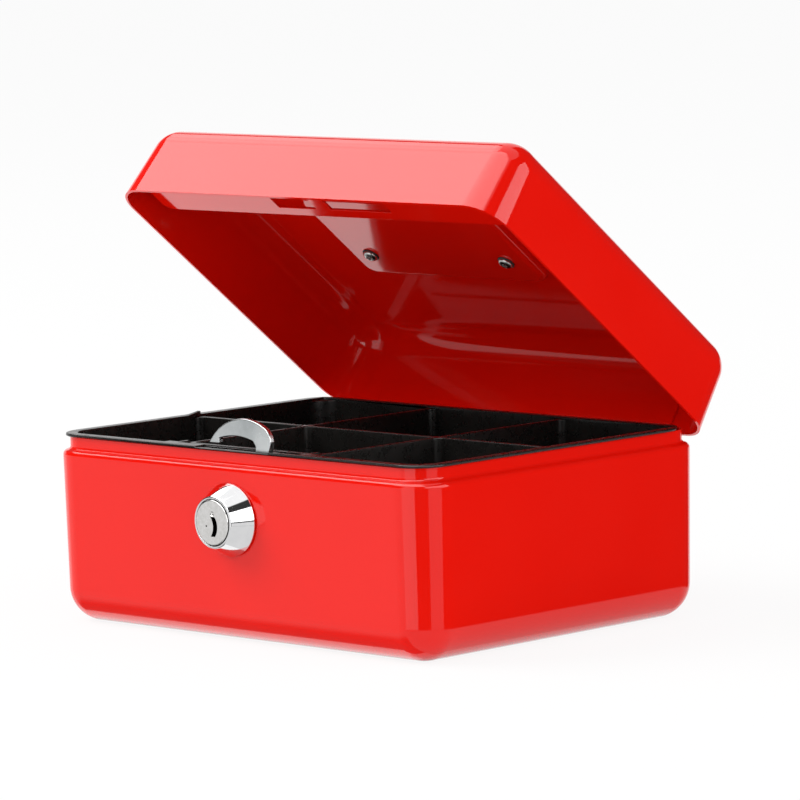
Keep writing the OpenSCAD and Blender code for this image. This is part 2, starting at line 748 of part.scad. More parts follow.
body_shell();
tray();
lock_barrel();
lock_washer();
lock_nut();
hinge_body_leaf();
hinge_pin();
lid_shell();
lid_strike();
hinge_lid_leaf();
handle_post(-1);  // handle_post_left
handle_post(1);  // handle_post_right
handle_screw(-1);  // handle_screw_left
handle_screw(1);  // handle_screw_right
handle_washer(-1);  // handle_washer_left
handle_washer(1);  // handle_washer_right
handle_bail();
lock_plug();
lock_wafers();
lock_bolt();
bolt_washer();
bolt_screw();
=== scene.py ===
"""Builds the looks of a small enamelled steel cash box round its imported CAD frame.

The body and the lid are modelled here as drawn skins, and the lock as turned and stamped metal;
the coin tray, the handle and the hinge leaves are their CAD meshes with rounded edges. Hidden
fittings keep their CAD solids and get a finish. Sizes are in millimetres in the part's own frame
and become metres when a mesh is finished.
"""
import json
import logging
import math
from collections.abc import Iterable
from dataclasses import dataclass
from enum import Enum

import bmesh
import bpy
from mathutils import Matrix, Vector


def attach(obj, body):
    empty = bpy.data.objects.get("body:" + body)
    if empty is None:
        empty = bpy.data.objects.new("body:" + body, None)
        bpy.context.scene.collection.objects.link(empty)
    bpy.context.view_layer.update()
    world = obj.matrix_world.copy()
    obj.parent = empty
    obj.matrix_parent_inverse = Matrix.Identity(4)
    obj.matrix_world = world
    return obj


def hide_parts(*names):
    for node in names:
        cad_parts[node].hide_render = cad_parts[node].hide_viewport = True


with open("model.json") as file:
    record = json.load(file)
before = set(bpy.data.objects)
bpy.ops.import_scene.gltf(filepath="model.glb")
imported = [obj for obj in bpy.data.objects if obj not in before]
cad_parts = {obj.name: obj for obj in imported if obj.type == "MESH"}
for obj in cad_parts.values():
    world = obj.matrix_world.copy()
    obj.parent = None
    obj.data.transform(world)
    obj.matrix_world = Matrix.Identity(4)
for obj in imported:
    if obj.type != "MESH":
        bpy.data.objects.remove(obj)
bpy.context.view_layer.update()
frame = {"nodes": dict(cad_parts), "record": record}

LOG = logging.getLogger("cash_box")
MM = 0.001                          # one millimetre in metres
WELD_MM = 0.001                     # points nearer than this become one
SHEET_EDGE = 0.2                    # rounding of a shell's cut edge, in millimetres
FLAT_TURN = math.radians(1.0)       # faces that turn by less become one
NOISE_LOW, NOISE_HIGH = 0.3, 0.7    # most of a noise's values lie between these
Point2 = tuple[float, float]
Point3 = tuple[float, float, float]


class Body(Enum):
    """Bodies of the frame that a piece can ride on."""

    BOX = "body"
    LID = "lid"
    HANDLE = "handle"
    LOCK = "lock"


@dataclass(frozen=True)
class Hinge:
    """The hinge's pin line and the angle at which the lid stands open."""

    y: float = 60.98
    z: float = 46.5
    open_angle: float = 38.6

    def rest(self) -> Matrix:
        """Works out the turn that carries the shut lid to its rest place.

        Returns:
            The turn about the pin, in millimetres.
        """
        pin = Vector((0.0, self.y, self.z))
        turn = Matrix.Rotation(-math.radians(self.open_angle), 4, "X")
        return Matrix.Translation(pin) @ turn @ Matrix.Translation(-pin)


HINGE = Hinge()


# ---------- materials ----------


class Graph:
    """A node tree with short calls to add nodes, links and arithmetic."""

    def __init__(self, tree: bpy.types.NodeTree) -> None:
        """Empties the node tree of a material or a world."""
        self.tree = tree
        tree.nodes.clear()

    def add(self, kind: str, **settings: object) -> bpy.types.Node:
        """Adds one node.

        Args:
            kind: The node's type name.
            **settings: Attributes to set on it.

        Returns:
            The new node.
        """
        node = self.tree.nodes.new(kind)
        for key, value in settings.items():
            setattr(node, key, value)
        return node

    def link(self, a: bpy.types.Node, out: str | int, b: bpy.types.Node, into: str | int) -> None:
        """Links an output of node a to an input of node b."""
        self.join(a.outputs[out], b.inputs[into])

    def join(self, source: bpy.types.NodeSocket, target: bpy.types.NodeSocket) -> None:
        """Links an output socket to an input socket."""
        self.tree.links.new(source, target)

    def calc(self, operation: str, *values: object) -> bpy.types.NodeSocket:
        """Adds a math node.

        Args:
            operation: Its operation.
            *values: Its inputs, each a number or a socket.

        Returns:
            The node's output.
        """
        node = self.add("ShaderNodeMath", operation=operation)
        for slot, value in zip(node.inputs, values):
            if isinstance(value, bpy.types.NodeSocket):
                self.join(value, slot)
            else:
                slot.default_value = value
        return node.outputs["Value"]


class NodeTree(Graph):
    """A material's node tree round one Principled shader."""

    def __init__(self, name: str) -> None:
        """Starts a node material.

        Args:
            name: The material's name.
        """
        self.material = bpy.data.materials.new(name)
        self.material.use_nodes = True
        super().__init__(self.material.node_tree)
        self.output = self.add("ShaderNodeOutputMaterial")
        self.shader = self.add("ShaderNodeBsdfPrincipled")
        self.link(self.shader, "BSDF", self.output, "Surface")
        self.coords = self.add("ShaderNodeTexCoord")

    def noise(self, scale: float, detail: float = 2.0) -> bpy.types.Node:
        """Adds a noise on object coordinates.

        Args:
            scale: Cycles per metre.
            detail: Octaves of the noise.

        Returns:
            The noise node.
        """
        node = self.add("ShaderNodeTexNoise")
        node.inputs["Scale"].default_value = scale
        node.inputs["Detail"].default_value = detail
        self.link(self.coords, "Object", node, "Vector")
        return node

    def spread(self, source: bpy.types.Node, low: float, high: float) -> bpy.types.Node:
        """Maps a noise's factor to the range low to high.

        Args:
            source: The noise node.
            low: Value where the noise is NOISE_LOW.
            high: Value where the noise is NOISE_HIGH.

        Returns:
            The Map Range node.
        """
        node = self.add("ShaderNodeMapRange")
        limits = {"From Min": NOISE_LOW, "From Max": NOISE_HIGH, "To Min": low, "To Max": high}
        for name, value in limits.items():
            node.inputs[name].default_value = value
        self.link(source, "Fac", node, "Value")
        return node

    def tint(self, source: bpy.types.Node, low: Point3, high: Point3) -> None:
        """Colours the shader between two colours by a noise.

        Args:
            source: The noise node.
            low: Colour where the noise is NOISE_LOW.
            high: Colour where the noise is NOISE_HIGH.
        """
        ramp = self.add("ShaderNodeValToRGB")
        stops = ((NOISE_LOW, low), (NOISE_HIGH, high))
        for element, (place, colour) in zip(ramp.color_ramp.elements, stops):
            element.position = place
            element.color = (*colour, 1.0)
        self.link(source, "Fac", ramp, "Fac")
        self.link(ramp, "Color", self.shader, "Base Color")

    def bump(self, source: bpy.types.Node, height: float, strength: float = 1.0) -> None:
        """Bumps the surface by a noise.

        Args:
            source: The noise node.
            height: Height of the bumps in metres.
            strength: Share of it that shows.
        """
        node = self.add("ShaderNodeBump")
        node.inputs["Strength"].default_value = strength
        node.inputs["Distance"].default_value = height
        self.link(source, "Fac", node, "Height")
        self.link(node, "Normal", self.shader, "Normal")


@dataclass(frozen=True)
class Enamel:
    """Glossy red stoving enamel on steel sheet, a little uneven in colour, gloss and flow."""

    name: str = "red_enamel"
    base: Point3 = (0.80, 0.0062, 0.0012)
    deep: Point3 = (0.76, 0.0050, 0.0010)
    roughness: float = 0.07
    gloss_range: Point2 = (0.8, 1.3)
    colour_scale: float = 14.0
    gloss_scale: float = 55.0
    flow_scale: float = 240.0
    flow_height: float = 0.00001
    flow_strength: float = 0.35
    ior: float = 1.5

    def build(self) -> bpy.types.Material:
        """Builds the enamel's material.

        Returns:
            The material.
        """
        tree = NodeTree(self.name)
        tree.tint(tree.noise(self.colour_scale), self.deep, self.base)
        low, high = (self.roughness * share for share in self.gloss_range)
        gloss = tree.spread(tree.noise(self.gloss_scale, detail=3.0), low, high)
        tree.link(gloss, "Result", tree.shader, "Roughness")
        flow = tree.noise(self.flow_scale, detail=1.0)
        tree.bump(flow, self.flow_height, self.flow_strength)
        tree.shader.inputs["IOR"].default_value = self.ior
        return tree.material


@dataclass(frozen=True)
class MouldedPlastic:
    """Black moulded polystyrene with a fine satin face."""

    name: str = "black_polystyrene"
    base: Point3 = (0.006, 0.0055, 0.005)
    worn: Point3 = (0.011, 0.010, 0.009)
    roughness: float = 0.28
    gloss_range: Point2 = (0.85, 1.2)
    colour_scale: float = 60.0
    gloss_scale: float = 420.0
    grain_scale: float = 1600.0
    grain_height: float = 0.00002
    grain_strength: float = 0.4

    def build(self) -> bpy.types.Material:
        """Builds the plastic's material.

        Returns:
            The material.
        """
        tree = NodeTree(self.name)
        tree.tint(tree.noise(self.colour_scale, detail=4.0), self.base, self.worn)
        low, high = (self.roughness * share for share in self.gloss_range)
        gloss = tree.spread(tree.noise(self.gloss_scale, detail=3.0), low, high)
        tree.link(gloss, "Result", tree.shader, "Roughness")
        tree.bump(tree.noise(self.grain_scale), self.grain_height, self.grain_strength)
        return tree.material


@dataclass(frozen=True)
class Metal:
    """A plated or plain metal with a fine grain."""

    name: str
    base: Point3
    dark: Point3
    roughness: float
    gloss_range: Point2 = (0.8, 1.25)
    grain: float = 300.0
    relief: float = 0.000004
    relief_strength: float = 0.5

    def build(self) -> bpy.types.Material:
        """Builds the metal's material.

        Returns:
            The material.
        """
        tree = NodeTree(self.name)
        tree.shader.inputs["Metallic"].default_value = 1.0
        grain = tree.noise(self.grain, detail=3.0)
        tree.tint(grain, self.dark, self.base)
        low, high = (self.roughness * share for share in self.gloss_range)
        tree.link(tree.spread(grain, low, high), "Result", tree.shader, "Roughness")
        tree.bump(grain, self.relief, self.relief_strength)
        return tree.material


@dataclass(frozen=True)
class Finishes:
    """All finishes of the cash box, built once."""

    enamel: bpy.types.Material
    plastic: bpy.types.Material
    chrome: bpy.types.Material
    satin: bpy.types.Material
    # painted shade: a near-black metal laid in the keyway and the pit to darken them
    painted_shade: bpy.types.Material
    bolt: bpy.types.Material
    zinc: bpy.types.Material
    brass: bpy.types.Material
    rubber: bpy.types.Material


def build_finishes() -> Finishes:
    """Returns every finish of the box as a material."""
    return Finishes(
        enamel=Enamel().build(),
        plastic=MouldedPlastic().build(),
        chrome=Metal("bright_chrome", (0.90, 0.90, 0.905), (0.84, 0.84, 0.85), 0.06).build(),
        satin=Metal("satin_chrome", (0.88, 0.87, 0.86), (0.78, 0.77, 0.75), 0.16,
                    grain=900.0, relief=0.000006).build(),
        bolt=Metal("satin_bolt", (0.80, 0.83, 0.83), (0.42, 0.45, 0.46), 0.24, grain=60.0).build(),
        # painted shade for the keyway's depth and the small pit
        painted_shade=Metal("keyway_painted_shade", (0.035, 0.028, 0.026), (0.02, 0.016, 0.015), 0.4).build(),
        zinc=Metal("zinc_plate", (0.66, 0.66, 0.65), (0.50, 0.50, 0.49), 0.24).build(),
        brass=Metal("plain_brass", (0.72, 0.52, 0.22), (0.60, 0.42, 0.17), 0.3).build(),
        rubber=MouldedPlastic("black_fibre", (0.02, 0.02, 0.02), (0.04, 0.04, 0.04), 0.6).build(),
    )


# ---------- mesh helpers ----------


def arc(cx: float, cy: float, r: float, a0: float, a1: float, steps: int) -> list[Point2]:
    """Returns points of an arc.

    Args:
        cx: Middle, first coordinate.
        cy: Middle, second coordinate.
        r: Radius.
        a0: First angle in degrees.
        a1: Last angle in degrees.
        steps: Straight steps between them.

    Returns:
        steps + 1 points from a0 to a1.
    """
    turns = [math.radians(a0 + (a1 - a0) * i / steps) for i in range(steps + 1)]
    return [(cx + r * math.cos(t), cy + r * math.sin(t)) for t in turns]


def edges_of(geometry: list) -> list[bmesh.types.BMEdge]:
    """Returns the edges in a mixed list of mesh elements."""
    return [g for g in geometry if isinstance(g, bmesh.types.BMEdge)]


def verts_of(geometry: list) -> list[bmesh.types.BMVert]:
    """Returns the vertices in a mixed list of mesh elements."""
    return [g for g in geometry if isinstance(g, bmesh.types.BMVert)]


@dataclass(frozen=True)
class Plan:
    """A rounded rectangle seen from above."""

    left: float
    right: float
    front: float
    rear: float
    corner_r: float

    @classmethod
    def centred(cls, width: float, depth: float, corner_r: float) -> "Plan":
        """Returns a plan whose middle is the origin."""
        return cls(-width / 2, width / 2, -depth / 2, depth / 2, corner_r)


def sweep(bm: bmesh.types.BMesh, section: list[Point2], plan: Plan, turn_steps: int = 20) -> None:
    """Sweeps an open section round a rounded rectangle.

    Args:
        bm: Mesh to add to.
        section: Points as (distance out from the corner's axis, height).
        plan: The rectangle.
        turn_steps: Steps in each corner.
    """
    x0, x1, y0, y1, r = plan.left, plan.right, plan.front, plan.rear, plan.corner_r
    start = [bm.verts.new((x1 - r, y0 + r - out, up)) for out, up in section]
    geometry: list = start + [bm.edges.new(pair) for pair in zip(start, start[1:])]
    side_x, side_y = x1 - x0 - 2 * r, y1 - y0 - 2 * r
    stops = [((x1 - r, y0 + r), (0.0, side_y)), ((x1 - r, y1 - r), (-side_x, 0.0)),
             ((x0 + r, y1 - r), (0.0, -side_y)), ((x0 + r, y0 + r), (side_x, 0.0))]
    for (cx, cy), (dx, dy) in stops:
        turned = bmesh.ops.spin(bm, geom=geometry, cent=(cx, cy, 0.0), axis=(0.0, 0.0, 1.0),
                                angle=math.pi / 2, steps=turn_steps, use_merge=False,
                                use_normal_flip=False, use_duplicate=False)
        side = bmesh.ops.extrude_edge_only(bm, edges=edges_of(turned["geom_last"]))
        geometry = side["geom"]
        bmesh.ops.translate(bm, verts=verts_of(geometry), vec=(dx, dy, 0.0))
        geometry = verts_of(geometry) + [
            e for e in edges_of(geometry) if all(v in geometry for v in e.verts)]
    bmesh.ops.remove_doubles(bm, verts=bm.verts[:], dist=WELD_MM)


def rim_at(bm: bmesh.types.BMesh, z: float, tolerance: float = 0.01) -> list[bmesh.types.BMEdge]:
    """Returns the open edges that lie at height z."""
    return [e for e in bm.edges
            if e.is_boundary and all(abs(v.co.z - z) < tolerance for v in e.verts)]


def lathe(bm: bmesh.types.BMesh, section: list[Point2], steps: int = 96) -> None:
    """Turns a section round the Z axis.

    Args:
        bm: Mesh to add to.
        section: Points as (radius, height).
        steps: Steps in the full turn.
    """
    line = [bm.verts.new((radius, 0.0, up)) for radius, up in section]
    geometry = line + [bm.edges.new(pair) for pair in zip(line, line[1:])]
    bmesh.ops.spin(bm, geom=geometry, cent=(0, 0, 0), axis=(0, 0, 1), angle=2 * math.pi,
                   steps=steps, use_merge=True, use_normal_flip=False, use_duplicate=False)
    bmesh.ops.remove_doubles(bm, verts=bm.verts[:], dist=WELD_MM / 2)


def outline(bm: bmesh.types.BMesh, points: list[Point2], up: float) -> list[bmesh.types.BMEdge]:
    """Draws a closed line through points at one height and returns its edges."""
    ring = [bm.verts.new((x, y, up)) for x, y in points]
    return [bm.edges.new(pair) for pair in zip(ring, ring[1:] + ring[:1])]


def paint(faces: Iterable[bmesh.types.BMFace], finish: int) -> None:
    """Gives faces the finish with the given index."""
    for face in faces:
        face.material_index = finish


def pull(bm: bmesh.types.BMesh, edges: list[bmesh.types.BMEdge], shift: Point3,
         centre: Point2 = (0.0, 0.0), scale: float = 1.0) -> list[bmesh.types.BMEdge]:
    """Pulls a wall out of a line of edges.

    Args:
        bm: Mesh to add to.
        edges: The line.
        shift: How far the far side of the wall moves.
        centre: Middle that the far side is scaled about.
        scale: Size of the far side, where 1 keeps the line's own.

    Returns:
        The edges of the far side.
    """
    made = bmesh.ops.extrude_edge_only(bm, edges=edges)["geom"]
    for vert in verts_of(made):
        vert.co.x = centre[0] + (vert.co.x - centre[0]) * scale
        vert.co.y = centre[1] + (vert.co.y - centre[1]) * scale
        vert.co += Vector(shift)
    far = set(verts_of(made))
    return [e for e in edges_of(made) if all(v in far for v in e.verts)]


def finish_mesh(bm: bmesh.types.BMesh, name: str, material: bpy.types.Material,
                place: Matrix | None = None, outward: bool = True) -> bpy.types.Object:
    """Turns a mesh in millimetres into a smooth object in metres.

    Args:
        bm: The mesh, freed afterwards.
        name: The object's name.
        material: Its finish.
        place: Turn and shift in millimetres, if any.
        outward: Whether to point all faces out.

    Returns:
        The new object, at the origin.
    """
    if outward:
        bmesh.ops.recalc_face_normals(bm, faces=bm.faces[:])
    if place is not None:
        bm.transform(place)
    bm.transform(Matrix.Scale(MM, 4))
    mesh = bpy.data.meshes.new(name)
    bm.to_mesh(mesh)
    bm.free()
    mesh.shade_smooth()
    mesh.materials.append(material)
    piece = bpy.data.objects.new(name, mesh)
    bpy.context.scene.collection.objects.link(piece)
    return piece


def crease(piece: bpy.types.Object, width: float, segments: int = 2, angle: float = 40.0,
           clamp: bool = True) -> None:
    """Rounds a piece's sharp edges and smooths its shading.

    Args:
        piece: The object.
        width: Width of the rounding in millimetres.
        segments: Steps in it.
        angle: Edges that turn by more than this, in degrees, are rounded.
        clamp: Whether the shortest edge limits the width of every rounding.
    """
    bevel = piece.modifiers.new("edges", "BEVEL")
    bevel.width = width * MM
    bevel.segments = segments
    bevel.limit_method = "ANGLE"
    bevel.angle_limit = math.radians(angle)
    bevel.harden_normals = True
    bevel.use_clamp_overlap = clamp
    weighted = piece.modifiers.new("shading", "WEIGHTED_NORMAL")
    weighted.keep_sharp = True


def thicken(piece: bpy.types.Object, thickness: float) -> None:
    """Gives a skin its sheet thickness on the inside.

    Args:
        piece: The skin.
        thickness: The sheet's thickness in millimetres.
    """
    solid = piece.modifiers.new("sheet", "SOLIDIFY")
    solid.thickness = thickness * MM
    solid.offset = -1.0
    solid.use_even_offset = True


def seat(piece: bpy.types.Object, body: Body, slot: str, *nodes: str) -> None:
    """Makes a piece ride on a body and stand for CAD nodes, and reports it.

    Args:
        piece: The finished object.
        body: The body it moves with.
        slot: The record's material slot; not used.
        *nodes: CAD nodes that it replaces.
    """
    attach(piece, body.value)
    if nodes:
        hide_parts(*nodes)
    LOG.info("%s rides on %s for %s", piece.name, body.value, ", ".join(nodes) or "no node")


def refined(node: str, name: str, material: bpy.types.Material, width: float,
            reshape: Matrix | None = None, cut_up: bool = False) -> bpy.types.Object:
    """Copies a CAD node's mesh, merges it and rounds its edges.

    Args:
        node: The node's name.
        name: Name of the new piece.
        material: Its finish.
        width: Width of the edge rounding in millimetres.
        reshape: Change of its size in millimetres, if any.
        cut_up: Whether to cut faces into triangles first, as a plate with windows needs, and to
            round every edge by the full width.

    Returns:
        The new object.
    """
    bm = bmesh.new()
    bm.from_mesh(frame["nodes"][node].data)
    bmesh.ops.remove_doubles(bm, verts=bm.verts[:], dist=2 * WELD_MM * MM)
    bmesh.ops.dissolve_limit(bm, angle_limit=FLAT_TURN, verts=bm.verts[:], edges=bm.edges[:])
    if cut_up:
        bmesh.ops.triangulate(bm, faces=bm.faces[:])
    bm.transform(Matrix.Scale(1 / MM, 4))
    piece = finish_mesh(bm, name, material, reshape, outward=False)
    crease(piece, width, clamp=not cut_up)
    return piece


# ---------- sub-assemblies ----------


@dataclass
class BodyShell:
    """The drawn lower shell: rounded foot, straight walls, shoulder and neck."""

    width: float = 152.0
    depth: float = 118.0
    corner_r: float = 11.3
    foot_r: float = 10.4
    lean: float = 0.7
    shoulder_z: float = 49.2
    shoulder_r: float = 1.6
    neck_inset: float = 2.2
    neck_r: float = 1.1
    neck_top_z: float = 54.7
    sheet: float = 0.8

    def section(self) -> list[Point2]:
        """Draws the wall's outer line from the foot to the neck's top.

        Returns:
            Points as (distance out from the corner's axis, height).
        """
        r = self.corner_r
        both = self.shoulder_r + self.neck_r
        bend = math.degrees(math.acos(1 - self.neck_inset / both))
        neck_z = self.shoulder_z + both * math.sin(math.radians(bend))
        line = arc(r - self.lean - self.foot_r, self.foot_r, self.foot_r, -90, 0, 18)
        line += arc(r - self.shoulder_r, self.shoulder_z, self.shoulder_r, 0, bend, 8)
        line += arc(r - self.neck_inset + self.neck_r, neck_z, self.neck_r, 180 + bend, 180, 7)
        line.append((r - self.neck_inset, self.neck_top_z))
        return line

    def build(self, finishes: Finishes) -> None:
        """Builds and seats the shell.

        Args:
            finishes: The box's finishes.
        """
        bm = bmesh.new()
        sweep(bm, self.section(), Plan.centred(self.width, self.depth, self.corner_r))
        bmesh.ops.edgeloop_fill(bm, edges=rim_at(bm, 0.0))
        shell = finish_mesh(bm, "box_body", finishes.enamel)
        thicken(shell, self.sheet)
        crease(shell, SHEET_EDGE)
        seat(shell, Body.BOX, "red_paint", "body_shell")


@dataclass
class Tray:
    """The moulded coin tray with six compartments and a bay for the lock."""

    edge: float = 0.35

    def build(self, finishes: Finishes) -> None:
        """Seats the tray's moulding."""
        tray = refined("tray", "coin_tray", finishes.plastic, self.edge, cut_up=True)
        seat(tray, Body.BOX, "black_plastic", "tray")


@dataclass
class Lid:
    """The drawn lid with its handle well, and the strike flange behind its front wall."""

    width: float = 152.0
    depth: float = 118.0
    corner_r: float = 10.5
    edge_r: float = 9.0
    lean: float = 1.3
    low_z: float = 51.0
    height: float = 26.2
    sheet: float = 0.8
    well_half_w: float = 35.9
    well_front_y: float = -28.2
    well_rear_y: float = 10.9
    well_depth: float = 6.0
    well_corner_r: float = 4.0
    well_edge_r: float = 1.3
    well_brim_r: float = 1.2
    strike_edge: float = 0.15

    @property
    def top_z(self) -> float:
        """Height of the shut lid's top."""
        return self.low_z + self.height

    def section(self) -> list[Point2]:
        """Draws the lid wall's outer line from its lower edge to the top.

        Returns:
            Points as (distance out from the corner's axis, height).
        """
        line = [(self.corner_r, self.low_z)]
        middle = self.corner_r - self.lean - self.edge_r
        return line + arc(middle, self.top_z - self.edge_r, self.edge_r, 0, 90, 18)

    def well_section(self) -> list[Point2]:
        """Draws the well's line from its brim on the lid's top down to its floor.

        Returns:
            Points as (distance out from the corner's axis, height).
        """
        r, brim, edge = self.well_corner_r, self.well_brim_r, self.well_edge_r
        line = arc(r + brim, self.top_z - brim, brim, 90, 180, 6)
        floor_z = self.top_z - self.well_depth
        return line + arc(r - edge, floor_z + edge, edge, 0, -90, 6)

    def build(self, finishes: Finishes) -> None:
        """Builds the lid's shell and finishes its strike.

        Args:
            finishes: The box's finishes.
        """
        bm = bmesh.new()
        sweep(bm, self.section(), Plan.centred(self.width, self.depth, self.corner_r))
        well = Plan(-self.well_half_w, self.well_half_w, self.well_front_y, self.well_rear_y,
                    self.well_corner_r)
        sweep(bm, self.well_section(), well, turn_steps=10)
        bmesh.ops.triangle_fill(bm, edges=rim_at(bm, self.top_z), use_beauty=True)
        bmesh.ops.edgeloop_fill(bm, edges=rim_at(bm, self.top_z - self.well_depth))
        shell = finish_mesh(bm, "box_lid", finishes.enamel, HINGE.rest())
        thicken(shell, self.sheet)
        crease(shell, SHEET_EDGE)
        seat(shell, Body.LID, "red_paint", "lid_shell")
        strike = refined("lid_strike", "strike_flange", finishes.enamel, self.strike_edge,
                         cut_up=True)
        seat(strike, Body.LID, "red_paint", "lid_strike")


@dataclass
class Lock:
    """The chromed collar, the plug with its crescent keyway and the hooked bolt.

    Shapes are drawn as seen from the front, with the third size counted out from the front wall.
    """

    front_y: float = -59.0
    axis_z: float = 35.6
    base_r: float = 10.5
    base_h: float = 0.6
    base_lip: float = 0.05
    ring_r: float = 7.05
    ring_h: float = 6.65
    ring_edge_r: float = 0.5
    gap_r: float = 6.72
    gap_edge_r: float = 0.15
    gap_floor_h: float = 4.4
    gap_floor_reach: float = 0.4
    skirt: float = 1.0
    collar_edge: float = 0.12
    plug_r: float = 6.42
    plug_h: float = 6.95
    plug_edge_r: float = 0.3
    keyway_edge: float = 0.08
    key_arc_r: float = 4.29
    key_x: float = -3.82
    key_y: float = -1.15
    key_w: float = 1.7
    key_half_turn: float = 40.7
    key_deep: float = 2.0
    dimple_at: Point2 = (0.2, 2.55)
    dimple_r: float = 0.72
    dimple_deep: float = 0.35
    pit_at: Point2 = (-2.27, -1.1)
    pit_r: float = 0.26
    bowl_steps: tuple[Point2, ...] = ((0.8, 0.5), (0.6, 0.3), (0.3, 0.2))
    hook_front_y: float = -55.7
    hook_t: float = 1.8
    hook_mid: Point2 = (3.3, 11.6)
    hook_outer_r: float = 17.0
    hook_inner_r: float = 23.5
    hook_shoulder_r: float = 5.0
    hook_leg_x: float = 14.05
    hook_window_x: float = 7.9
    hook_horn_x: float = -6.7
    hook_tip_y: float = 21.0
    hook_boss_r: float = 7.0
    hook_edge: float = 0.45
    hook_foot: Point2 = (-4.0, 5.0)
    window_turn: float = 2.5
    window_cut: float = 1.0
    window_deep: float = 4.0
    sharp_turn: float = 50.0

    def on_axis(self, y: float) -> Matrix:
        """Returns the turn that carries a front view to the lock's axis at the given depth."""
        return Matrix.Translation((0.0, y, self.axis_z)) @ Matrix.Rotation(math.pi / 2, 4, "X")

    def collar(self, finishes: Finishes) -> None:
        """Turns the tapered collar with its rounded face ring.

        Args:
            finishes: The box's finishes.
        """
        bm = bmesh.new()
        edge = self.gap_edge_r
        section = [(self.base_r - self.skirt, 0.0), (self.base_r, self.base_lip),
                   (self.base_r, self.base_h)]
        section += arc(self.ring_r, self.ring_h - self.ring_edge_r, self.ring_edge_r, 20, 90, 6)
        section += arc(self.gap_r + edge, self.ring_h - edge, edge, 90, 180, 4)
        section += [(self.gap_r, self.gap_floor_h),
                    (self.plug_r - self.gap_floor_reach, self.gap_floor_h)]
        lathe(bm, section)
        collar = finish_mesh(bm, "lock_collar", finishes.chrome, self.on_axis(self.front_y))
        crease(collar, self.collar_edge)
        seat(collar, Body.BOX, "chrome", "lock_barrel")

    def keyway(self) -> list[Point2]:
        """Returns the crescent keyway's outline."""
        turn, r = self.key_half_turn, self.key_arc_r
        return (arc(self.key_x, self.key_y, r, turn, -turn, 16)
                + arc(self.key_x + self.key_w, self.key_y, r, -turn, turn, 16))

    def plug(self, finishes: Finishes) -> None:
        """Builds the plug: a rounded disc, pierced by the keyway and dimpled.

        Finish 0 is its satin face, and finish 1 a painted shade: a near-black metal that darkens the
        keyway and the small pit.

        Args:
            finishes: The box's finishes.
        """
        bm = bmesh.new()
        face_r = self.plug_r - self.plug_edge_r
        rim = arc(face_r, self.plug_h - self.plug_edge_r, self.plug_edge_r, 90, 0, 5)
        lathe(bm, rim + [(self.plug_r, self.gap_floor_h - self.skirt)])
        holes = outline(bm, self.keyway(), self.plug_h)
        # the pit takes finish 1, the painted shade
        bowls = [(self.dimple_at, self.dimple_r, self.dimple_deep, 0),
                 (self.pit_at, self.pit_r, 2 * self.pit_r, 1)]
        rings = [outline(bm, arc(x, y, r, 0, 345, 23), self.plug_h)
                 for (x, y), r, _, _ in bowls]
        face = rim_at(bm, self.plug_h) + holes + [e for ring in rings for e in ring]
        bmesh.ops.triangle_fill(bm, edges=list(dict.fromkeys(face)), use_beauty=True)
        for ring, (middle, _, deep, finish) in zip(rings, bowls):
            for shrink, drop in self.bowl_steps:
                ring = pull(bm, ring, (0.0, 0.0, -deep * drop), middle, shrink)
                paint({f for e in ring for f in e.link_faces}, finish)
            paint(bmesh.ops.edgeloop_fill(bm, edges=ring)["faces"], finish)
        # painted shade: the keyway's walls and floor take the near-black finish 1
        bottom = pull(bm, holes, (0.0, 0.0, -self.key_deep))
        paint({f for e in bottom for f in e.link_faces}, 1)
        paint(bmesh.ops.edgeloop_fill(bm, edges=bottom)["faces"], 1)
        plug = finish_mesh(bm, "key_plug", finishes.satin, self.on_axis(self.front_y))
        plug.data.materials.append(finishes.painted_shade)
        crease(plug, self.keyway_edge, angle=self.sharp_turn)
        seat(plug, Body.LOCK, "chrome", "lock_plug")

    def hook_outline(self) -> list[Point2]:
        """Draws the hooked bolt's outline: boss, arm, round shoulder, arch and free tip.

        Returns:
            Points as seen from the front, from the lock's axis.
        """
        (mx, my), big, small = self.hook_mid, self.hook_outer_r, self.hook_shoulder_r
        rise = math.sqrt((big - small) ** 2 - (self.hook_leg_x - small - mx) ** 2)
        lean = math.degrees(math.atan2(rise, self.hook_leg_x - small - mx))
        end = 180 - math.degrees(math.asin((self.hook_tip_y - my) / big))
        inner = self.hook_inner_r
        horn = math.degrees(math.acos(self.hook_horn_x / inner))
        window = math.degrees(math.acos(self.hook_window_x / inner))
        points = arc(0.0, 0.0, self.hook_boss_r, 180, 360, 24)
        points += arc(self.hook_leg_x - small, my + rise, small, 0, lean, 8)
        points += arc(mx, my, big, lean, end, 36)[1:]
        points.append((self.hook_horn_x, self.hook_tip_y))
        points += arc(0.0, 0.0, inner, horn, window + self.window_turn, 16)
        corner_y = inner * math.sin(math.radians(window)) - self.window_cut
        points += [(self.hook_window_x, corner_y),
                   (self.hook_window_x, inner - self.window_deep), self.hook_foot]
        return points

    def hook(self, finishes: Finishes) -> None:
        """Stamps the hooked bolt out of flat steel.

        Args:
            finishes: The box's finishes.
        """
        bm = bmesh.new()
        edges = outline(bm, self.hook_outline(), 0.0)
        bmesh.ops.triangle_fill(bm, edges=edges, use_beauty=True)
        bmesh.ops.dissolve_limit(bm, angle_limit=0.01, verts=bm.verts[:], edges=bm.edges[:])
        raised = bmesh.ops.extrude_face_region(bm, geom=bm.faces[:])["geom"]
        bmesh.ops.translate(bm, verts=verts_of(raised), vec=(0.0, 0.0, -self.hook_t))
        hook = finish_mesh(bm, "hooked_bolt", finishes.bolt, self.on_axis(self.hook_front_y))
        crease(hook, self.hook_edge, segments=4, angle=self.sharp_turn)
        seat(hook, Body.LOCK, "bolt_steel", "lock_bolt")

    def build(self, finishes: Finishes) -> None:
        """Builds and seats the lock's visible pieces.

        Args:
            finishes: The box's finishes.
        """
        self.collar(finishes)
        self.plug(finishes)
        self.hook(finishes)


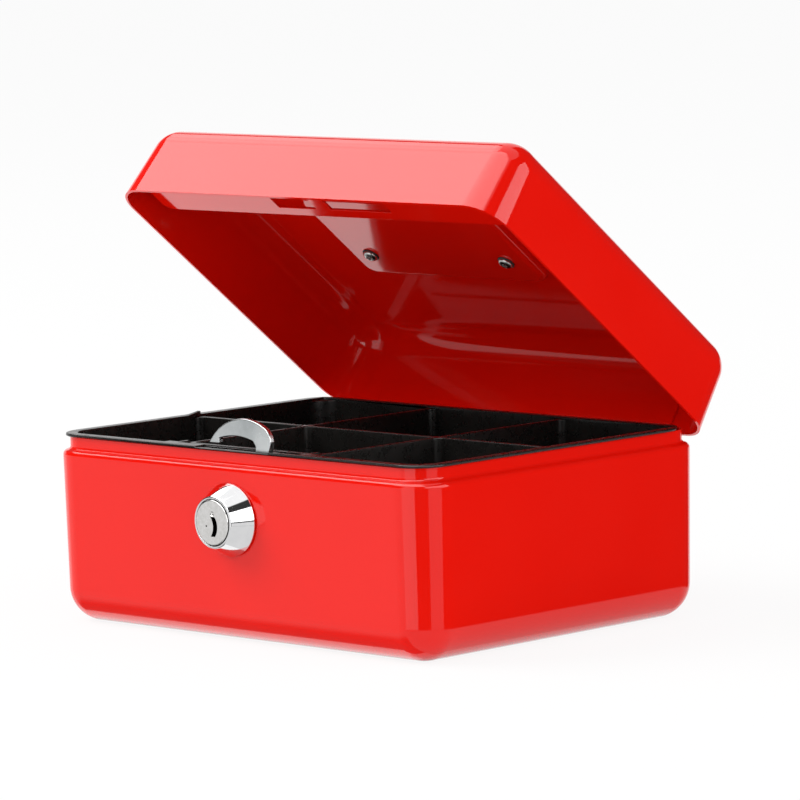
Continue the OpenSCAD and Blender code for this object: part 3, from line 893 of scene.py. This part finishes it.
@dataclass
class Handle:
    """The bail handle with its posts, screws and washers."""

    post_x: float = 27.4
    post_y: float = 0.5
    seat_z: float = 70.4
    head_scale: Point3 = (0.88, 0.88, 0.72)
    washer_scale: Point3 = (0.82, 0.82, 0.72)
    bail_edge: float = 0.1
    post_edge: float = 0.3
    fine_edge: float = 0.08

    def shrink(self, side: int, scale: Point3) -> Matrix:
        """Works out the change that makes a screw's head or washer finer about its own axis.

        Args:
            side: -1 for the left screw and 1 for the right one.
            scale: Size on the shut lid's three axes, where 1 keeps the solid's own.

        Returns:
            The change, in millimetres.
        """
        foot = Matrix.Translation((side * self.post_x, self.post_y, self.seat_z))
        finer = Matrix.Diagonal((*scale, 1.0))
        return HINGE.rest() @ foot @ finer @ foot.inverted() @ HINGE.rest().inverted()

    def build(self, finishes: Finishes) -> None:
        """Seats the handle's pieces.

        Args:
            finishes: The box's finishes.
        """
        bail = refined("handle_bail", "bail_handle", finishes.chrome, self.bail_edge)
        seat(bail, Body.HANDLE, "chrome", "handle_bail")
        for name, side in (("left", -1), ("right", 1)):
            post = refined(f"handle_post_{name}", f"bail_post_{name}", finishes.chrome,
                           self.post_edge)
            seat(post, Body.LID, "chrome", f"handle_post_{name}")
            screw = refined(f"handle_screw_{name}", f"post_screw_{name}", finishes.zinc,
                            self.fine_edge, self.shrink(side, self.head_scale))
            seat(screw, Body.LID, "zinc_steel", f"handle_screw_{name}")
            washer = refined(f"handle_washer_{name}", f"post_washer_{name}", finishes.rubber,
                             self.fine_edge, self.shrink(side, self.washer_scale))
            seat(washer, Body.LID, "black_washer", f"handle_washer_{name}")


@dataclass
class HingeLeaves:
    """The two leaves of the rear hinge."""

    edge: float = 0.12

    def build(self, finishes: Finishes) -> None:
        """Seats the leaves.

        Args:
            finishes: The box's finishes.
        """
        for node, body in (("hinge_body_leaf", Body.BOX), ("hinge_lid_leaf", Body.LID)):
            name = node.replace("hinge_", "") + "_hinge"
            leaf = refined(node, name, finishes.enamel, self.edge)
            seat(leaf, body, "red_paint", node)


def dress_fittings(finishes: Finishes) -> None:
    """Gives every CAD node its finish, for those that no piece replaces.

    Args:
        finishes: The box's finishes.
    """
    slots = {"zinc_steel": finishes.zinc, "brass": finishes.brass, "chrome": finishes.chrome,
             "black_washer": finishes.rubber, "red_paint": finishes.enamel,
             "black_plastic": finishes.plastic, "bolt_steel": finishes.bolt}
    for row in frame["record"]["subparts"]:
        node = frame["nodes"][row["node"]]
        node.data.materials.clear()
        node.data.materials.append(slots[row["material_slot"]])
        LOG.info("%s takes %s", row["node"], row["material_slot"])


# ---------- studio ----------


@dataclass(frozen=True)
class Lamp:
    """One soft lamp: a lit rectangle that looks at the box and shows in no reflection."""

    name: str
    place: Point3
    width: float
    height: float
    power: float
    aim: Point3 = (0.0, 0.0, 0.05)


@dataclass(frozen=True)
class Screen:
    """One part of the room as polished surfaces see it, in degrees round and above the box."""

    turn: float
    half_turn: float
    rise: float
    half_rise: float
    level: float
    soft: float

    def inside(self, graph: Graph, off: bpy.types.NodeSocket, half: float) -> bpy.types.NodeSocket:
        """Returns 1 where an angle lies within half of the middle, with a soft border.

        Args:
            graph: The room's node tree.
            off: The angle from the middle, in radians.
            half: Half of the screen's extent, in degrees.

        Returns:
            A socket with the share.
        """
        edge = graph.add("ShaderNodeMapRange", interpolation_type="SMOOTHSTEP")
        edge.inputs["From Min"].default_value = math.radians(half + self.soft / 2)
        edge.inputs["From Max"].default_value = math.radians(half - self.soft / 2)
        graph.join(graph.calc("ABSOLUTE", off), edge.inputs["Value"])
        return edge.outputs["Result"]

    def share(self, graph: Graph, turn: bpy.types.NodeSocket,
              rise: bpy.types.NodeSocket) -> bpy.types.NodeSocket:
        """Returns 1 in the directions that the screen fills and 0 elsewhere.

        Args:
            graph: The room's node tree.
            turn: The direction's angle round the box.
            rise: Its angle above the floor.

        Returns:
            A socket with the share.
        """
        round_off = graph.calc("SUBTRACT", turn, math.radians(self.turn))
        round_off = graph.calc("WRAP", round_off, math.pi, -math.pi)
        rise_off = graph.calc("SUBTRACT", rise, math.radians(self.rise))
        return graph.calc("MULTIPLY", self.inside(graph, round_off, self.half_turn),
                          self.inside(graph, rise_off, self.half_rise))


@dataclass
class Studio:
    """Camera, floor, soft lamps and the room's screens."""

    lens: float = 237.02
    sensor: float = 36.0
    yaw: float = 44.278
    pitch: float = 6.374
    roll: float = -1.481
    eye: Point3 = (1.06469, -1.08063, 0.23318)
    floor_size: float = 40.0
    floor_colour: Point3 = (0.88, 0.88, 0.88)
    floor_roughness: float = 0.9
    floor_glow: float = 0.9
    room_level: float = 0.85
    gap_level: float = 0.05
    lamps: tuple[Lamp, ...] = (
        Lamp("left_key", (-1.3, -1.0, 1.5), 1.6, 1.4, 35.5),
        Lamp("right_fill", (1.7, 0.5, 0.7), 1.0, 1.0, 7.0),
        Lamp("front_fill", (1.5, -1.5, 0.9), 0.9, 0.9, 5.0),
    )
    screens: tuple[Screen, ...] = (
        Screen(-142.0, 38.0, -45.0, 50.0, 0.93, 4.0),     # pale floor, front left
        Screen(140.0, 44.0, -45.0, 46.0, 1.30, 4.0),      # pale floor, rear left
        Screen(-130.0, 50.0, -66.0, 36.0, 0.25, 14.0),    # the box's own shade on the floor
        Screen(160.0, 20.0, -42.0, 14.0, 1.90, 3.5),      # lit patch of the floor
        Screen(-4.0, 103.0, -55.0, 41.0, 0.93, 3.0),      # pale floor, front and right
        Screen(145.0, 31.0, 36.0, 38.5, 1.25, 3.0),       # rear left screen
        Screen(0.0, 180.0, 76.0, 18.0, 1.30, 3.0),        # ceiling
        Screen(167.0, 23.0, 26.0, 10.0, 0.12, 3.0),       # dark edge under the soft box
        Screen(173.0, 13.0, 52.0, 12.0, 3.90, 3.0),       # soft box, its far end
        Screen(156.0, 9.0, 47.0, 13.0, 3.00, 3.0),        # the same, further round
        Screen(147.0, 4.0, 41.0, 13.0, 2.30, 1.5),        # the same, its last part
        Screen(140.8, 2.2, 33.0, 12.0, 0.12, 1.5),        # dark edge behind it
        Screen(-104.0, 72.0, 65.0, 26.0, 4.90, 3.0),      # large soft box over the front left
        Screen(-84.5, 19.5, 8.0, 21.0, 1.60, 1.5),        # upright soft box in front
        Screen(3.0, 37.0, 18.0, 18.0, 3.60, 2.0),         # upright soft box on the right
        Screen(-6.0, 20.0, -7.5, 6.5, 0.95, 1.5),         # its picture in the floor
        Screen(0.0, 40.0, -1.7, 2.0, 0.05, 0.5),          # dark line where it meets the floor
    )

    def camera(self) -> None:
        """Places the camera at the viewing angle."""
        yaw, pitch, roll = (math.radians(a) for a in (self.yaw, self.pitch, self.roll))
        ahead = Vector((-math.sin(yaw) * math.cos(pitch), math.cos(yaw) * math.cos(pitch),
                        -math.sin(pitch)))
        level = Vector((math.cos(yaw), math.sin(yaw), 0.0))
        above = level.cross(ahead)
        right = level * math.cos(roll) + above * math.sin(roll)
        up = above * math.cos(roll) - level * math.sin(roll)
        turn = Matrix((right, up, -ahead)).transposed()    # its columns are the camera's axes
        data = bpy.data.cameras.new("camera")
        data.lens = self.lens
        data.sensor_width = self.sensor
        data.clip_end = 1.5 * self.floor_size
        camera = bpy.data.objects.new("camera", data)
        camera.matrix_world = Matrix.Translation(self.eye) @ turn.to_4x4()
        bpy.context.scene.collection.objects.link(camera)
        bpy.context.scene.camera = camera

    def hang_lamps(self) -> None:
        """Hangs the soft lamps."""
        for lamp in self.lamps:
            data = bpy.data.lights.new(lamp.name, "AREA")
            data.shape = "RECTANGLE"
            data.size = lamp.width
            data.size_y = lamp.height
            data.energy = lamp.power
            hung = bpy.data.objects.new(lamp.name, data)
            hung.location = lamp.place
            ray = Vector(lamp.aim) - Vector(lamp.place)
            hung.rotation_euler = ray.to_track_quat("-Z", "Y").to_euler()
            hung.visible_glossy = False
            bpy.context.scene.collection.objects.link(hung)

    def lay_floor(self) -> None:
        """Lays the pale floor, which keeps the box's soft shadow."""
        bm = bmesh.new()
        bmesh.ops.create_grid(bm, x_segments=1, y_segments=1, size=self.floor_size / 2)
        mesh = bpy.data.meshes.new("floor")
        bm.to_mesh(mesh)
        bm.free()
        tree = NodeTree("pale_floor")
        tree.shader.inputs["Base Color"].default_value = (*self.floor_colour, 1.0)
        tree.shader.inputs["Roughness"].default_value = self.floor_roughness
        tree.shader.inputs["Specular IOR Level"].default_value = 0.0
        path = tree.add("ShaderNodeLightPath")
        glow = tree.add("ShaderNodeEmission")
        mix = tree.add("ShaderNodeMixShader")
        share = tree.calc("MULTIPLY", path.outputs["Is Camera Ray"], self.floor_glow)
        tree.join(share, mix.inputs["Fac"])
        tree.link(tree.shader, "BSDF", mix, 1)
        tree.link(glow, "Emission", mix, 2)
        tree.link(mix, "Shader", tree.output, "Surface")
        mesh.materials.append(tree.material)
        floor = bpy.data.objects.new("floor", mesh)
        floor.visible_glossy = False
        bpy.context.scene.collection.objects.link(floor)

    def build_room(self) -> None:
        """Fills the room with even light, and with screens for polished surfaces to mirror."""
        world = bpy.data.worlds.new("room")
        world.use_nodes = True
        graph = Graph(world.node_tree)
        axes = graph.add("ShaderNodeSeparateXYZ")
        graph.link(graph.add("ShaderNodeTexCoord"), "Generated", axes, "Vector")
        turn = graph.calc("ARCTAN2", axes.outputs["Y"], axes.outputs["X"])
        rise = graph.calc("ARCSINE", axes.outputs["Z"])
        level: bpy.types.NodeSocket | float = self.gap_level
        for screen in self.screens:
            share = screen.share(graph, turn, rise)
            gain = graph.calc("SUBTRACT", screen.level, level)
            level = graph.calc("MULTIPLY_ADD", gain, share, level)
        path = graph.add("ShaderNodeLightPath").outputs
        mirrored = graph.calc("MAXIMUM", path["Is Glossy Ray"], path["Is Transmission Ray"])
        plain = graph.calc("MULTIPLY_ADD", path["Is Camera Ray"], 1.0 - self.room_level,
                           self.room_level)
        gain = graph.calc("SUBTRACT", level, plain)
        strength = graph.calc("MULTIPLY_ADD", gain, mirrored, plain)
        back = graph.add("ShaderNodeBackground")
        graph.join(strength, back.inputs["Strength"])
        graph.link(back, "Background", graph.add("ShaderNodeOutputWorld"), "Surface")
        world.cycles.sampling_method = "NONE"
        bpy.context.scene.world = world

    def build(self) -> None:
        """Sets up the whole studio."""
        self.camera()
        self.hang_lamps()
        self.lay_floor()
        self.build_room()
        bpy.context.scene.view_settings.view_transform = "Standard"


def main() -> None:
    """Builds the cash box and its studio."""
    logging.basicConfig(level=logging.INFO, format="%(name)s: %(message)s")
    finishes = build_finishes()
    dress_fittings(finishes)
    BodyShell().build(finishes)
    Tray().build(finishes)
    Lid().build(finishes)
    Lock().build(finishes)
    Handle().build(finishes)
    HingeLeaves().build(finishes)
    Studio().build()


if __name__ == "__main__":
    main()
